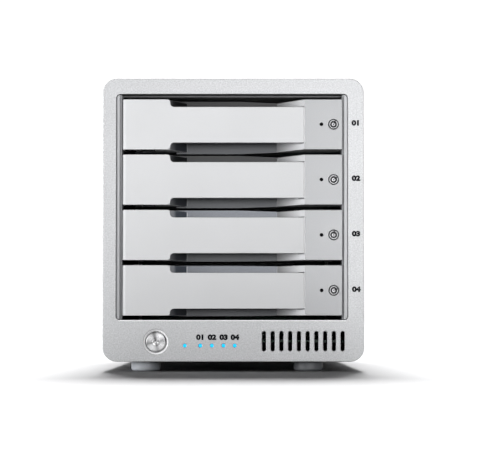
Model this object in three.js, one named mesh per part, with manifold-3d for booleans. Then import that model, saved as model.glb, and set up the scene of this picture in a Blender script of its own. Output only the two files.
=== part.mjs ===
// A four-bay desktop network storage enclosure in silver aluminium.
// Millimetres, +Z up. The front faces -Y and +X is to its right. The origin is the centre of the
// overall box, at the level of the surface that the feet stand on.
import * as THREE from "three";
import { mergeVertices } from "three/addons/utils/BufferGeometryUtils.js";
import Module from "manifold-3d";

const wasm = await Module();
wasm.setup();

// ---------------------------------------------------------------- driving dimensions

const BODY_WIDTH = 147.6;
const BODY_HEIGHT = 160.3;
const BODY_DEPTH = 235; // front face of the bezel to rear face of the rear panel
const CORNER_RADIUS = 8;
const FOOT_HEIGHT = 5.5;
const REAR_SCREW_HEAD = 3; // the rear screws' heads stand behind the panel

const BEZEL_THICKNESS = 6;
const SLEEVE_WALL = 2.2;
const REAR_PANEL_THICKNESS = 2;
const SEAM = 0.1; // gap left between pieces that meet face to face

const BAY_COUNT = 4;
const BAY_PITCH = 31.4;
const BAY_CENTRE_X = -0.75; // the bays sit a little left of the middle, beside the printed bay numbers
const OPENING = { width: 131.1, bottom: 28.95, top: 157.05, radius: 2.4 };
const TRIM = { width: 2.5, gap: 0.12, setback: 1 };

const TRAY = { width: 124.6, height: 28.5, bottom: 31.5, setback: 1, frontDepth: 17 };
const LEVER = { pivotIn: 8.5, pivotDepth: 5, wall: 2.2, bar: 3, blockWidth: 27.3, endGap: 0.3 };
const LEVER_CURVE = { outer: 1.6, inner: 2.1 }; // radii of the step from the block to the bar
const LEVER_INSET = { top: 4.3, bottom: 3.9 }; // the bar is lower than the block by these
const LEVER_END_RADIUS = 2.5;
const GRIP = { depth: 14, left: 35.35, right: 25.85, leftSlope: 9.3, rightSlope: 15.4 };
const LATCH_BLOCK_WIDTH = 21.15;
const DRIVE = { width: 101.6, length: 147, height: 26.1, lift: 1.8 };
const SIDE_HOLE = { fromRear: [28.5, 130.1], aboveBase: 6.35 }; // of a 3.5 inch drive

const FAN = { size: 80, depth: 25, bore: 38, screwSpacing: 71.5, height: 98 };
const SLOT = { count: 10, firstX: 17.3, pitch: 4.93, width: 2.25, height: 11.2, z: 17.05 };
const STATUS_X = [-27.4, -18.65, -12.1, -5.5, 0.8];
const STATUS_Z = 14.55;
const BUTTON = { x: -43.7, z: 16.6, radius: 5.6, hole: 6.05, chamfer: 7.1, travel: 1.2 };
const FOOT = { radius: 8.3, plug: 2.2, leftX: -50.4, rightX: 43, fromEnd: 15 };
const BOARD_TOP = 17.4; // upper face of the main board

// ---------------------------------------------------------------- derived planes

const DEPTH = BODY_DEPTH + REAR_SCREW_HEAD;
const FRONT = -DEPTH / 2;
const REAR = FRONT + BODY_DEPTH;
const BODY_BOTTOM = FOOT_HEIGHT;
const BODY_TOP = FOOT_HEIGHT + BODY_HEIGHT;
const BODY_MID_Z = (BODY_BOTTOM + BODY_TOP) / 2;
const BEZEL_BACK = FRONT + BEZEL_THICKNESS;
const PANEL_FRONT = REAR - REAR_PANEL_THICKNESS;
const OPENING_LEFT = BAY_CENTRE_X - OPENING.width / 2;
const OPENING_RIGHT = BAY_CENTRE_X + OPENING.width / 2;
const TRAY_FACE = FRONT + TRAY.setback;
const TRAY_LEFT = BAY_CENTRE_X - TRAY.width / 2;
const TRAY_RIGHT = BAY_CENTRE_X + TRAY.width / 2;
const TRAY_BACK = TRAY_FACE + TRAY.frontDepth;
const PIVOT_X = TRAY_LEFT + LEVER.pivotIn;
const PIVOT_Y = TRAY_FACE + LEVER.pivotDepth;
const LATCH_LEFT = TRAY_RIGHT - LATCH_BLOCK_WIDTH;
const BLOCK_RIGHT = TRAY_LEFT + LEVER.blockWidth;
const LEVER_END = LATCH_LEFT - LEVER.endGap;
const LOCK = { x: TRAY_RIGHT - 4.75, radius: 2.6, hole: 2.95 };
const SLOT_ANGLES = [0, 20, 45, 70]; // each lock's slot was left at its own angle
const LED_X = TRAY_RIGHT - 11.65;
const DRIVE_FRONT = TRAY_BACK + 2;
const DRIVE_REAR = DRIVE_FRONT + DRIVE.length;
const CAGE = {
  inner: 67,
  wall: 1.2,
  front: BEZEL_BACK + 1.7,
  rear: DRIVE_REAR + 9,
  bottom: 27.3,
  top: 157.6,
};
const BACKPLANE = DRIVE_REAR + 10;

const bayBottom = (bay) => TRAY.bottom + (BAY_COUNT - 1 - bay) * BAY_PITCH;
const bays = Array.from({ length: BAY_COUNT }, (_, bay) => bay);

// ---------------------------------------------------------------- solids

function toSolid(geometry) {
  const bare = geometry.clone();
  bare.deleteAttribute("normal");
  bare.deleteAttribute("uv");
  const merged = mergeVertices(bare, 1e-4);
  return new wasm.Manifold(
    new wasm.Mesh({
      numProp: 3,
      vertProperties: new Float32Array(merged.attributes.position.array),
      triVerts: new Uint32Array(merged.index.array),
    }),
  );
}

function toGeometry(solid) {
  const mesh = solid.getMesh();
  const geometry = new THREE.BufferGeometry();
  geometry.setAttribute("position", new THREE.BufferAttribute(mesh.vertProperties, 3));
  geometry.setIndex(new THREE.BufferAttribute(mesh.triVerts, 1));
  geometry.computeVertexNormals();
  return geometry;
}

const join = (...pieces) => toGeometry(pieces.map(toSolid).reduce((a, b) => a.add(b)));
const cut = (base, ...tools) =>
  toGeometry(tools.map(toSolid).reduce((a, b) => a.subtract(b), toSolid(base)));
const common = (a, b) => toGeometry(toSolid(a).intersect(toSolid(b)));

function block([x0, x1], [y0, y1], [z0, z1]) {
  const geometry = new THREE.BoxGeometry(x1 - x0, y1 - y0, z1 - z0);
  return geometry.translate((x0 + x1) / 2, (y0 + y1) / 2, (z0 + z1) / 2);
}

// Cylinders along Y, along Z and along X.
function rodY(radius, [y0, y1], x, z, sides) {
  const geometry = new THREE.CylinderGeometry(radius, radius, y1 - y0, sides);
  return geometry.translate(0, (y0 + y1) / 2, 0).translate(x, 0, z);
}

function rodZ(radius, [z0, z1], x, y, sides) {
  const geometry = new THREE.CylinderGeometry(radius, radius, z1 - z0, sides);
  return geometry.rotateX(Math.PI / 2).translate(x, y, (z0 + z1) / 2);
}

function rodX(radius, [x0, x1], y, z, sides) {
  const geometry = new THREE.CylinderGeometry(radius, radius, x1 - x0, sides);
  return geometry.rotateZ(Math.PI / 2).translate((x0 + x1) / 2, y, z);
}

// A shape drawn in X and Z, thick along Y.
function extrudeY(shape, [y0, y1], curveSegments = 3) {
  const options = { depth: y1 - y0, bevelEnabled: false, curveSegments };
  return new THREE.ExtrudeGeometry(shape, options).rotateX(Math.PI / 2).translate(0, y1, 0);
}

// A shape drawn in X and Y, tall along Z.
function extrudeZ(shape, [z0, z1], curveSegments = 3) {
  const options = { depth: z1 - z0, bevelEnabled: false, curveSegments };
  return new THREE.ExtrudeGeometry(shape, options).translate(0, 0, z0);
}

// A profile of [radius, height] points turned about the Z axis.
function turned(profile, sides) {
  const points = profile.map(([radius, height]) => new THREE.Vector2(radius, height));
  return new THREE.LatheGeometry(points, sides).rotateX(Math.PI / 2);
}

// ---------------------------------------------------------------- outlines

function roundedRectangle(path, [x0, x1], [z0, z1], radius) {
  const quarter = Math.PI / 2;
  path.absarc(x1 - radius, z0 + radius, radius, -quarter, 0);
  path.absarc(x1 - radius, z1 - radius, radius, 0, quarter);
  path.absarc(x0 + radius, z1 - radius, radius, quarter, 2 * quarter);
  path.absarc(x0 + radius, z0 + radius, radius, 2 * quarter, 3 * quarter);
  return path;
}

function polygon(points) {
  return new THREE.Shape(points.map(([x, y]) => new THREE.Vector2(x, y)));
}

function roundHole(x, z, radius, sides) {
  const points = [];
  for (let i = 0; i < sides; i++) {
    const angle = (i / sides) * 2 * Math.PI;
    points.push(new THREE.Vector2(x + radius * Math.cos(angle), z + radius * Math.sin(angle)));
  }
  return new THREE.Path(points);
}

function uprightSlot(x, z, width, height) {
  const radius = width / 2;
  const reach = height / 2 - radius;
  const path = new THREE.Path();
  path.absarc(x, z + reach, radius, 0, Math.PI);
  path.absarc(x, z - reach, radius, Math.PI, 2 * Math.PI);
  return path;
}

function levelSlot(x, z, width, height) {
  const radius = height / 2;
  const reach = width / 2 - radius;
  const path = new THREE.Shape();
  path.absarc(x + reach, z, radius, -Math.PI / 2, Math.PI / 2);
  path.absarc(x - reach, z, radius, Math.PI / 2, 1.5 * Math.PI);
  return path;
}

function bodyOutline(inset) {
  return roundedRectangle(
    new THREE.Shape(),
    [-BODY_WIDTH / 2 + inset, BODY_WIDTH / 2 - inset],
    [BODY_BOTTOM + inset, BODY_TOP - inset],
    CORNER_RADIUS - inset,
  );
}

// ---------------------------------------------------------------- materials

const finish = (color, roughness, metalness) =>
  new THREE.MeshStandardMaterial({ color, roughness, metalness });

const materials = {
  blastedAluminium: finish(0xcdcfd1, 0.45, 0.85),
  trimAluminium: finish(0xb9bcc0, 0.35, 0.9),
  silverPlastic: finish(0xdcdee0, 0.5, 0.3),
  latchPlastic: finish(0xc4c6c9, 0.5, 0.3),
  steel: finish(0x9a9da1, 0.4, 0.8),
  brightMetal: finish(0xd8dadc, 0.2, 1.0),
  darkSteel: finish(0x2b2d30, 0.5, 0.6),
  blackPlastic: finish(0x151618, 0.55, 0.0),
  rubber: finish(0x4b4f55, 0.8, 0.0),
  board: finish(0x1d4a33, 0.6, 0.0),
  castDrive: finish(0x8d9094, 0.5, 0.8),
  blueLens: finish(0x35d6ff, 0.3, 0.0),
};

const enclosure = new THREE.Group();

function add(name, geometry, material, group = enclosure) {
  const mesh = new THREE.Mesh(geometry, materials[material]);
  mesh.name = name;
  group.add(mesh);
}

// ---------------------------------------------------------------- casing

const BOSS = { x: BODY_WIDTH / 2 - 4.5, up: 4.6, radius: 2.8, hole: 1.5 };
const bossPlaces = [-1, 1].flatMap((side) =>
  [BODY_BOTTOM + BOSS.up, BODY_TOP - BOSS.up].map((z) => [side * BOSS.x, z]),
);
const footPlaces = [FOOT.leftX, FOOT.rightX].flatMap((x) =>
  [FRONT + FOOT.fromEnd, REAR - FOOT.fromEnd].map((y) => [x, y]),
);

function frontBezel() {
  const plate = bodyOutline(0);
  const { bottom, top, radius } = OPENING;
  plate.holes.push(
    roundedRectangle(new THREE.Path(), [OPENING_LEFT, OPENING_RIGHT], [bottom, top], radius),
    roundHole(BUTTON.x, BUTTON.z, BUTTON.hole, 24),
    ...STATUS_X.map((x) => roundHole(x, STATUS_Z, 1.15, 8)),
  );
  for (let i = 0; i < SLOT.count; i++) {
    const x = SLOT.firstX + i * SLOT.pitch;
    plate.holes.push(uprightSlot(x, SLOT.z, SLOT.width, SLOT.height));
  }
  const depth = BUTTON.chamfer - BUTTON.hole;
  const chamfer = new THREE.CylinderGeometry(BUTTON.hole, BUTTON.chamfer + depth, 2 * depth, 24);
  chamfer.translate(BUTTON.x, FRONT, BUTTON.z);
  return cut(extrudeY(plate, [FRONT, BEZEL_BACK]), chamfer);
}

// The sleeve is an extrusion: a rounded tube with a screw channel in each corner, a slot along
// each side that holds the main board, and a ledge above it for the drive cage.
const RAILS = [
  { z: [BOARD_TOP - 3.5, BOARD_TOP - 1.8], reach: 67.6 },
  { z: [BOARD_TOP + 0.3, BOARD_TOP + 1.8], reach: 67.6 },
  { z: [CAGE.bottom - 2.1, CAGE.bottom - 0.3], reach: 64 },
];

function casingSleeve() {
  const length = [BEZEL_BACK + SEAM, PANEL_FRONT - SEAM];
  const railLength = [BEZEL_BACK + 4, PANEL_FRONT - SEAM];
  const wall = BODY_WIDTH / 2 - 1;
  const tube = bodyOutline(0);
  tube.holes.push(bodyOutline(SLEEVE_WALL));
  const inside = extrudeY(bodyOutline(0.5), length);
  const bosses = bossPlaces.map(([x, z]) => common(rodY(BOSS.radius, length, x, z, 12), inside));
  const rails = RAILS.flatMap(({ z, reach }) => [
    block([-wall, -reach], railLength, z),
    block([reach, wall], railLength, z),
  ]);
  const channels = bossPlaces.map(([x, z]) => rodY(BOSS.hole, [FRONT, REAR], x, z, 8));
  const footHoles = footPlaces.map(([x, y]) => rodZ(FOOT.plug + 0.2, [0, BODY_BOTTOM + 4], x, y, 10));
  return cut(join(extrudeY(tube, length), ...bosses, ...rails), ...channels, ...footHoles);
}

// Ports along the lower edge of the rear panel: x of each, with the size of its face.
const PORT_DEPTH = 18;
const LAN = { x: -14.5, width: 32, height: 13.4, spacing: 15.6 };
const USB = { x: 25, width: 14, height: 15.6, spacing: 7.6 };
const JACK = { x: -47, width: 10, height: 11, bore: 3.2 };
const portSpan = [REAR - PORT_DEPTH + 0.2, REAR + 0.2];
const aboveBoard = (height) => [BOARD_TOP + SEAM, BOARD_TOP + SEAM + height];
const about = (x, width) => [x - width / 2, x + width / 2];
const grown = ([a, b], margin) => [a - margin, b + margin];

function rearPanel() {
  const through = [PANEL_FRONT - 1, REAR + 1];
  const cutters = [
    rodY(FAN.bore - 0.5, through, 0, FAN.height, 32),
    extrudeY(levelSlot(60, 40, 7, 3), through, 2), // security slot
    ...bossPlaces.map(([x, z]) => rodY(1.8, through, x, z, 8)),
    ...fanScrewPlaces.map(([x, z]) => rodY(2.3, through, x, z, 8)),
  ];
  for (const { x, width, height } of [LAN, USB, JACK]) {
    cutters.push(block(grown(about(x, width), 0.3), through, grown(aboveBoard(height), 0.3)));
  }
  for (let row = 0; row < 8; row++) {
    const z = FAN.height - 28 + row * 8;
    for (const x of [-55, 55]) cutters.push(extrudeY(levelSlot(x, z, 16, 3), through, 2));
  }
  return cut(extrudeY(bodyOutline(0), [PANEL_FRONT, REAR]), ...cutters);
}

function rearScrew(x, z) {
  const head = rodY(2.75, [REAR + 0.05, REAR + REAR_SCREW_HEAD], x, z, 14);
  const shank = rodY(1.3, [REAR - 10, REAR + 1], x, z, 8);
  return cut(join(head, shank), rodY(1.4, [REAR + 1.2, REAR + 4], x, z, 6));
}

// A rubber foot with a plug that is pushed up into the casing.
function foot(x, y) {
  const profile = [
    [0, 0],
    [FOOT.radius - 1.1, 0],
    [FOOT.radius, 1.1],
    [FOOT.radius, FOOT_HEIGHT - 0.05],
    [FOOT.plug, FOOT_HEIGHT - 0.05],
    [FOOT.plug, FOOT_HEIGHT + 3.2],
    [0, FOOT_HEIGHT + 3.2],
  ];
  return turned(profile, 20).translate(x, y, 0);
}

add("front_bezel", frontBezel(), "blastedAluminium");
add("casing_sleeve", casingSleeve(), "blastedAluminium");
["left_front", "left_rear", "right_front", "right_rear"].forEach((corner, i) => {
  add(`foot_${corner}`, foot(...footPlaces[i]), "rubber");
});

// ---------------------------------------------------------------- fan

const half = FAN.screwSpacing / 2;
const fanScrewPlaces = [
  [-half, FAN.height - half],
  [half, FAN.height - half],
  [-half, FAN.height + half],
  [half, FAN.height + half],
];
const FAN_BACK = PANEL_FRONT - SEAM;
const FAN_FRONT = FAN_BACK - FAN.depth;
const HUB = { radius: 16, back: FAN_BACK - 4.5, front: FAN_FRONT + 3 };

function fanFrame() {
  const span = [FAN_FRONT, FAN_BACK];
  const edge = FAN.size / 2;
  const outline = roundedRectangle(
    new THREE.Shape(),
    [-edge, edge],
    [FAN.height - edge, FAN.height + edge],
    3.5,
  );
  outline.holes.push(roundHole(0, FAN.height, FAN.bore, 32));
  outline.holes.push(...fanScrewPlaces.map(([x, z]) => roundHole(x, z, 2.2, 8)));
  const strutSpan = [FAN_BACK - 4, FAN_BACK - 0.5];
  const struts = [0, 1, 2].map((i) =>
    block([-FAN.bore - 0.5, 0], strutSpan, [-1.6, 1.6])
      .rotateY(0.5 + (i * 2 * Math.PI) / 3)
      .translate(0, 0, FAN.height),
  );
  const motorPlate = rodY(HUB.radius, strutSpan, 0, FAN.height, 20);
  const bearing = rodY(1.9, [FAN_FRONT, FAN_BACK + 1], 0, FAN.height, 10);
  return cut(join(extrudeY(outline, span), motorPlate, ...struts), bearing);
}

function fanRotor() {
  const hub = rodY(HUB.radius, [HUB.front, HUB.back], 0, FAN.height, 20);
  const shaft = rodY(1.5, [HUB.back - 1, FAN_BACK - 1], 0, FAN.height, 10);
  const blades = [];
  const middle = (HUB.front + HUB.back) / 2;
  for (let i = 0; i < 7; i++) {
    const blade = block([HUB.radius - 1.5, 36.3], [-0.8, 0.8], [-8, 8])
      .rotateX(THREE.MathUtils.degToRad(38))
      .rotateY((i / 7) * 2 * Math.PI)
      .translate(0, middle, FAN.height);
    blades.push(blade);
  }
  return join(hub, shaft, ...blades);
}

// A wire guard: rings on two crossed bars that end in the screw eyes.
function fanGuard() {
  const wire = 0.8;
  const rings = [9, 18, 27, 36].map((radius) =>
    new THREE.TorusGeometry(radius, wire, 4, 20)
      .rotateX(Math.PI / 2)
      .translate(0, REAR + 1.75, FAN.height),
  );
  const reach = half * Math.SQRT2;
  const bars = [1, 3].map((turn) =>
    rodX(wire, [-reach, reach], 0, 0, 6)
      .rotateY((turn * Math.PI) / 4)
      .translate(0, REAR + wire + 0.05, FAN.height),
  );
  const eyes = fanScrewPlaces.map(([x, z]) => rodY(3.4, [REAR + 0.05, REAR + 1.7], x, z, 12));
  const holes = fanScrewPlaces.map(([x, z]) => rodY(1.9, [REAR - 1, REAR + 3], x, z, 8));
  return cut(join(...rings, ...bars, ...eyes), ...holes);
}

function fanScrew(x, z) {
  return join(
    rodY(3, [REAR + 1.75, REAR + 2.95], x, z, 12),
    rodY(1.5, [REAR - 10, REAR + 2], x, z, 8),
  );
}

add("rear_panel", rearPanel(), "blastedAluminium");
add("fan_frame", fanFrame(), "blackPlastic");
add("fan_rotor", fanRotor(), "blackPlastic");
add("fan_guard", fanGuard(), "brightMetal");
["low_left", "low_right", "high_left", "high_right"].forEach((corner, i) => {
  add(`fan_screw_${corner}`, fanScrew(...fanScrewPlaces[i]), "darkSteel");
});
["left_low", "left_high", "right_low", "right_high"].forEach((corner, i) => {
  add(`rear_screw_${corner}`, rearScrew(...bossPlaces[i]), "brightMetal");
});

// ---------------------------------------------------------------- front controls

const FRONT_BOARD = FRONT + 13; // front face of the small board behind the lower bezel
const SWITCH_HEIGHT = 3.6;

function powerButton() {
  const { x, z, radius, hole, travel } = BUTTON;
  const stemEnd = FRONT_BOARD - SWITCH_HEIGHT - travel - SEAM;
  return join(
    rodY(radius, [FRONT + 0.1, BEZEL_BACK + 0.5], x, z, 24),
    rodY(hole + 1.1, [BEZEL_BACK + 0.2, BEZEL_BACK + 1.2], x, z, 16),
    rodY(2, [BEZEL_BACK + 1, stemEnd], x, z, 10),
  );
}

function frontBoard() {
  const board = block([-56, 8], [FRONT_BOARD, FRONT_BOARD + 1.6], [9.6, 25]);
  const switchSpan = [FRONT_BOARD - SWITCH_HEIGHT, FRONT_BOARD + 0.1];
  return join(board, block(about(BUTTON.x, 6), switchSpan, about(BUTTON.z, 6)));
}

// Five clear pins on one rail carry the light from the board to the front face.
function statusLightGuide() {
  const pins = STATUS_X.map((x) => rodY(0.85, [FRONT, FRONT_BOARD - SEAM], x, STATUS_Z, 8));
  const rail = block(
    [STATUS_X[0] - 2, STATUS_X[STATUS_X.length - 1] + 2],
    [BEZEL_BACK + 0.8, BEZEL_BACK + 2.8],
    about(STATUS_Z, 3.4),
  );
  return join(rail, ...pins);
}

add("power_button", powerButton(), "brightMetal");
add("front_board", frontBoard(), "board");
add("status_light_guide", statusLightGuide(), "blueLens");

// Each side of the opening has an upright trim strip that closes the gap beside the trays. Its
// rounded ends follow the corners of the opening, and a leg behind the bezel holds it.
function bayTrim(side) {
  const wall = (side < 0 ? OPENING_LEFT : OPENING_RIGHT) - side * TRIM.gap;
  const inner = wall - side * TRIM.width;
  const outer = side * (BODY_WIDTH / 2 - SLEEVE_WALL - 1);
  const face = FRONT + TRIM.setback;
  const legSpan = [BEZEL_BACK + 0.2, BEZEL_BACK + 1.5];
  const outline = [
    [inner, face + 1.2],
    [inner + side * 0.9, face + 0.2],
    [inner + side * 1.5, face],
    [wall - side * 0.3, face],
    [wall, face + 0.3],
    [wall, legSpan[1]],
    [inner, legSpan[1]],
  ];
  const opening = roundedRectangle(
    new THREE.Shape(),
    [OPENING_LEFT + TRIM.gap, OPENING_RIGHT - TRIM.gap],
    [OPENING.bottom + TRIM.gap, OPENING.top - TRIM.gap],
    OPENING.radius - TRIM.gap,
  );
  const strip = common(
    extrudeZ(polygon(outline), [OPENING.bottom, OPENING.top]),
    extrudeY(opening, [FRONT, BEZEL_BACK + 2], 4),
  );
  const legHeights = [OPENING.bottom + OPENING.radius, OPENING.top - OPENING.radius];
  return join(strip, block([Math.min(inner, outer), Math.max(inner, outer)], legSpan, legHeights));
}

add("bay_trim_left", bayTrim(-1), "trimAluminium");
add("bay_trim_right", bayTrim(1), "trimAluminium");

// ---------------------------------------------------------------- cage and boards

const cageSides = [BAY_CENTRE_X - CAGE.inner, BAY_CENTRE_X + CAGE.inner];

function driveCage() {
  const outer = [cageSides[0] - CAGE.wall, cageSides[1] + CAGE.wall];
  const heights = [CAGE.bottom, CAGE.top];
  const span = [CAGE.front, CAGE.rear];
  const hollow = block(cageSides, grown(span, 1), [heights[0] + CAGE.wall, heights[1] - CAGE.wall]);
  const cableHole = block([-30, 30], [CAGE.rear - 22, CAGE.rear - 8], [20, 30]);
  return cut(block(outer, span, heights), hollow, cableHole);
}

// A guide panel on each side has a channel for every bay, which takes the rib along the tray.
const RIB = { low: 12, high: 15, reach: 62.4 };

function guidePanel(side) {
  const at = (reach) => BAY_CENTRE_X + side * reach;
  const ordered = (a, b) => [Math.min(a, b), Math.max(a, b)];
  const wall = CAGE.inner - SEAM;
  const span = [TRAY_BACK + 6, DRIVE_REAR + 2];
  const panel = block(ordered(at(wall), at(wall - 1.2)), span, [CAGE.bottom + 3, CAGE.top - 3]);
  const bars = [];
  const grooves = [];
  for (const bay of bays) {
    const rib = [bayBottom(bay) + RIB.low, bayBottom(bay) + RIB.high];
    bars.push(block(ordered(at(wall), at(56.5)), span, grown(rib, 2.1)));
    grooves.push(block(ordered(at(wall - 2), at(55)), grown(span, 1), grown(rib, 0.3)));
  }
  return cut(join(panel, ...bars), ...grooves);
}

function backplaneBoard() {
  const board = block(
    [BAY_CENTRE_X - 64, BAY_CENTRE_X + 64],
    [BACKPLANE, BACKPLANE + 1.6],
    [CAGE.bottom + 1.7, CAGE.top - 1.6],
  );
  const windows = bays.map((bay) => {
    const z = bayBottom(bay);
    return block([-52, 50], [BACKPLANE - 1, BACKPLANE + 3], [z + 13, z + 24]);
  });
  return cut(board, ...windows);
}

function driveConnector(z) {
  const shell = block([-48, -6], [DRIVE_REAR + 0.6, BACKPLANE - SEAM], [z + 2.6, z + 8.8]);
  return cut(shell, block([-46.5, -7.5], [DRIVE_REAR, DRIVE_REAR + 5], [z + 4.2, z + 7.2]));
}

function mainBoard() {
  return block([-70.6, 70.6], [-84, PANEL_FRONT - 1.5], [BOARD_TOP - 1.6, BOARD_TOP]);
}

function heatSink() {
  const base = block([-22, 22], [-20, 24], [BOARD_TOP + SEAM, BOARD_TOP + 3]);
  const fins = [];
  for (let x = -22; x <= 20; x += 6) {
    fins.push(block([x, x + 2], [-20, 24], [BOARD_TOP + 2, BOARD_TOP + 8.5]));
  }
  return join(base, ...fins);
}

add("drive_cage", driveCage(), "steel");
add("guide_panel_left", guidePanel(-1), "blackPlastic");
add("guide_panel_right", guidePanel(1), "blackPlastic");
add("backplane_board", backplaneBoard(), "board");
for (const bay of bays) {
  add(`drive_connector_${bay}`, driveConnector(bayBottom(bay)), "blackPlastic");
}
add("main_board", mainBoard(), "board");
add("board_heat_sink", heatSink(), "steel");

// ---------------------------------------------------------------- rear ports

function lanPorts() {
  const z = BOARD_TOP + SEAM;
  const shell = block(about(LAN.x, LAN.width), portSpan, aboveBoard(LAN.height));
  const sockets = [-0.5, 0.5].flatMap((step) => {
    const x = LAN.x + step * LAN.spacing;
    return [
      block(about(x, 12), [REAR - 13, REAR + 1], [z + 1.6, z + 9.4]),
      block(about(x, 6), [REAR - 13, REAR + 1], [z + 9, z + 11.6]),
    ];
  });
  return cut(shell, ...sockets);
}

function usbPorts() {
  const shell = block(about(USB.x, USB.width), portSpan, aboveBoard(USB.height));
  const mouths = [];
  const tongues = [];
  for (const level of [0, 1]) {
    const z = BOARD_TOP + SEAM + 1.2 + level * USB.spacing;
    mouths.push(block(about(USB.x, 12.4), [REAR - 10, REAR + 1], [z, z + 5.3]));
    tongues.push(block(about(USB.x, 11), [REAR - 11, REAR - 0.8], [z + 3, z + 4.7]));
  }
  return join(cut(shell, ...mouths), ...tongues);
}

function powerJack() {
  const middle = BOARD_TOP + SEAM + JACK.height / 2;
  const shell = block(about(JACK.x, JACK.width), portSpan, aboveBoard(JACK.height));
  const bore = rodY(JACK.bore, [REAR - 10, REAR + 1], JACK.x, middle, 16);
  const pin = rodY(1.05, [REAR - 11, REAR - 1], JACK.x, middle, 8);
  return join(cut(shell, bore), pin);
}

add("lan_ports", lanPorts(), "steel");
add("usb_ports", usbPorts(), "steel");
add("power_jack", powerJack(), "blackPlastic");

// ---------------------------------------------------------------- trays

const PIN = { radius: 1, hole: 1.15, head: 1.9 };
const LUG = { radius: 2.4, low: 0.2, high: 2.2 };

// The lever seen from above: a thin wall across the tray, thicker along the bar, turned in at the hinge end.
function leverPlan() {
  const front = TRAY_FACE;
  const inner = front + LEVER.wall;
  const r = LEVER_END_RADIUS;
  const turnIn = PIVOT_Y;
  const shape = new THREE.Shape();
  shape.moveTo(TRAY_LEFT + 1.6, turnIn);
  shape.lineTo(TRAY_LEFT, turnIn);
  shape.absarc(TRAY_LEFT + r, front + r, r, Math.PI, 1.5 * Math.PI);
  shape.lineTo(LEVER_END, front);
  shape.lineTo(LEVER_END, front + LEVER.bar);
  shape.lineTo(BLOCK_RIGHT + 1, front + LEVER.bar);
  shape.lineTo(BLOCK_RIGHT, inner);
  shape.lineTo(TRAY_LEFT + 2.4, inner);
  shape.lineTo(TRAY_LEFT + 1.6, inner + 0.8);
  return shape;
}

// The lever seen from the front: a full-height block, eased down to the narrower bar.
function leverFace(z) {
  const top = z + TRAY.height;
  const barLow = z + LEVER_INSET.bottom;
  const barHigh = top - LEVER_INSET.top;
  const { outer, inner } = LEVER_CURVE;
  const edge = BLOCK_RIGHT;
  const quarter = Math.PI / 2;
  const shape = new THREE.Shape();
  shape.moveTo(TRAY_LEFT, top);
  shape.lineTo(TRAY_LEFT, z);
  shape.absarc(edge - outer, z + outer, outer, -quarter, 0);
  shape.absarc(edge + inner, barLow - inner, inner, 2 * quarter, quarter, true);
  shape.lineTo(LEVER_END, barLow);
  shape.lineTo(LEVER_END, barHigh);
  shape.absarc(edge + inner, barHigh + inner, inner, -quarter, -2 * quarter, true);
  shape.absarc(edge - outer, top - outer, outer, 0, quarter);
  return shape;
}

function trayLever(z) {
  const height = [z, z + TRAY.height];
  const wall = common(
    extrudeZ(leverPlan(), height),
    extrudeY(leverFace(z), [TRAY_FACE - 1, TRAY_FACE + 12], 2),
  );
  const knuckle = [z + LUG.high + 0.3, z + TRAY.height - LUG.high - 0.3];
  const barrel = rodZ(LUG.radius, knuckle, PIVOT_X, PIVOT_Y, 12);
  const web = block(about(PIVOT_X, 2 * LUG.radius), [TRAY_FACE + 1, PIVOT_Y], knuckle);
  return cut(join(wall, barrel, web), rodZ(PIN.hole, grown(height, 1), PIVOT_X, PIVOT_Y, 12));
}

// The moulding seen from above: hinge pocket, rib, finger recess with sloping ends, and the latch block.
function trayFrontPlan() {
  const at = (x, depth) => [x, TRAY_FACE + depth];
  const gripLeft = BAY_CENTRE_X - GRIP.left;
  const gripRight = BAY_CENTRE_X + GRIP.right;
  const pocketWall = PIVOT_X + 9.85;
  return polygon([
    at(TRAY_LEFT, TRAY.frontDepth),
    at(TRAY_LEFT, 14.6),
    at(pocketWall, 14.6),
    at(pocketWall, 2.8),
    at(gripLeft, 2.8),
    at(gripLeft + GRIP.leftSlope, GRIP.depth),
    at(gripRight, GRIP.depth),
    at(LATCH_LEFT, 0),
    at(TRAY_RIGHT, 0),
    at(TRAY_RIGHT, TRAY.frontDepth),
  ]);
}

function latchPocketPlan() {
  const gripRight = BAY_CENTRE_X + GRIP.right;
  const back = TRAY_BACK + 1;
  return polygon([
    [LATCH_LEFT + 2.2, TRAY_FACE + 2.4],
    [TRAY_RIGHT - 1.5, TRAY_FACE + 2.4],
    [TRAY_RIGHT - 1.5, back],
    [gripRight + 3, back],
  ]);
}

function trayFront(z) {
  const top = z + TRAY.height;
  const middle = z + TRAY.height / 2;
  const lugs = [
    [z + LUG.low, z + LUG.high],
    [top - LUG.high, top - LUG.low],
  ].flatMap((span) => [
    rodZ(LUG.radius, span, PIVOT_X, PIVOT_Y, 12),
    block([PIVOT_X - 1.6, PIVOT_X + LUG.radius], [PIVOT_Y, TRAY_FACE + 15], span),
  ]);
  const barHeights = [z + LEVER_INSET.bottom, top - LEVER_INSET.top];
  const barNotch = block(
    [LATCH_LEFT - 6, LATCH_LEFT],
    [TRAY_FACE - 1, TRAY_FACE + LEVER.bar + 0.5],
    grown(barHeights, 0.35),
  );
  return cut(
    join(extrudeZ(trayFrontPlan(), [z, top]), ...lugs),
    barNotch,
    extrudeZ(latchPocketPlan(), [z + 2, top - 2]),
    rodZ(PIN.radius + 0.1, [z - 1, top + 1], PIVOT_X, PIVOT_Y, 12),
    rodY(LOCK.hole, [TRAY_FACE - 1, TRAY_FACE + 4], LOCK.x, middle, 16),
    rodY(0.85, [TRAY_FACE - 1, TRAY_FACE + 4], LED_X, middle, 8),
  );
}

function leverPin(z) {
  const top = z + TRAY.height;
  return join(
    rodZ(PIN.radius, [z + LUG.low, top], PIVOT_X, PIVOT_Y, 12),
    rodZ(PIN.head, [top - LUG.low + 0.05, top + 0.6], PIVOT_X, PIVOT_Y, 12),
  );
}

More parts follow.
